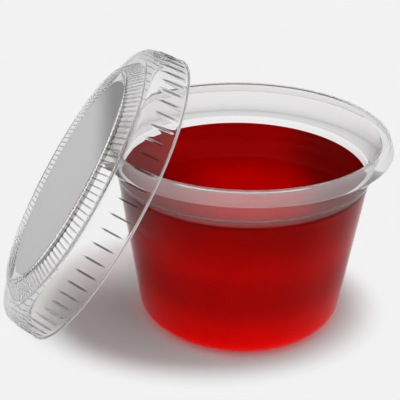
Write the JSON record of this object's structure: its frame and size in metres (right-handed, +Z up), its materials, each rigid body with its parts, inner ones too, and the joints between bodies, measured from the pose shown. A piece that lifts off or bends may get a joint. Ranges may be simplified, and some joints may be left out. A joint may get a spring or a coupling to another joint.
{
  "type": "moulded jelly",
  "caption": "Red jelly set in a clear round portion cup with a rolled rim, its clear lid leaning against the cup.",
  "frame": {"origin": "centre of the cup's flat base, on the surface that it stands on", "axes": "+Z up along the cup's axis; -X towards the leaning lid"},
  "size_m": [0.1016, 0.0831, 0.0703],
  "materials": {
    "clear_plastic": "clear thermoformed plastic sheet, smooth and shiny",
    "gelatine": null,
    "grey_label": "plain mid-grey matt disc, blank"
  },
  "bodies": {
    "root": {"cup": "clear_plastic", "jelly": "gelatine", "lid": "clear_plastic", "lid_label": "grey_label"}
  },
  "joints": []
}
